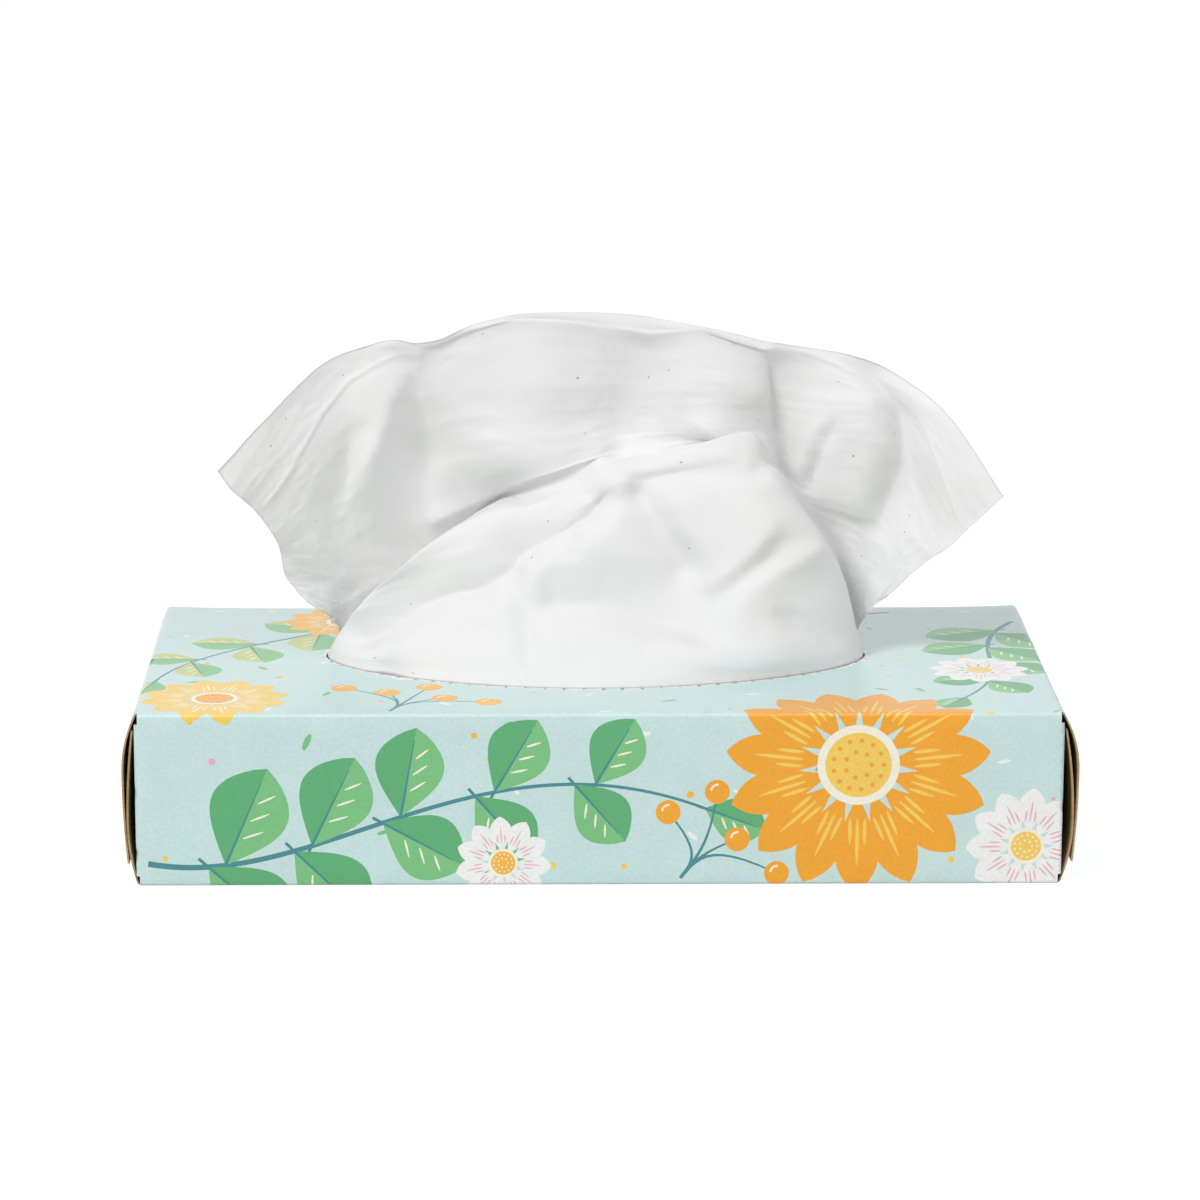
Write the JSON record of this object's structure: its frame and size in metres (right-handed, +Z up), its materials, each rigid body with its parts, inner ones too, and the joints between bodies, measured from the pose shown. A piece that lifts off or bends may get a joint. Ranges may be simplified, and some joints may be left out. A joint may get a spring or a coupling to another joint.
{
  "type": "tissue box",
  "caption": "Flat folded paperboard tissue box with an oval opening, a pile of interfolded tissues and one tissue standing up as a fan.",
  "frame": {"origin": "centre of the bottom panel's underside", "axes": "+X along the box's length, +Y from the front panel to the back panel, +Z up"},
  "size_m": [0.2373, 0.115, 0.1335],
  "materials": {
    "printed_board": "satin",
    "glue": "satin",
    "tissue_pile": "matte",
    "tissue": "matte"
  },
  "bodies": {
    "root": {"carton": "printed_board", "side_seam_glue": "glue", "left_end_glue": "glue", "right_end_glue": "glue", "tissue_stack": "tissue_pile", "popup_tissue": "tissue"}
  },
  "joints": []
}
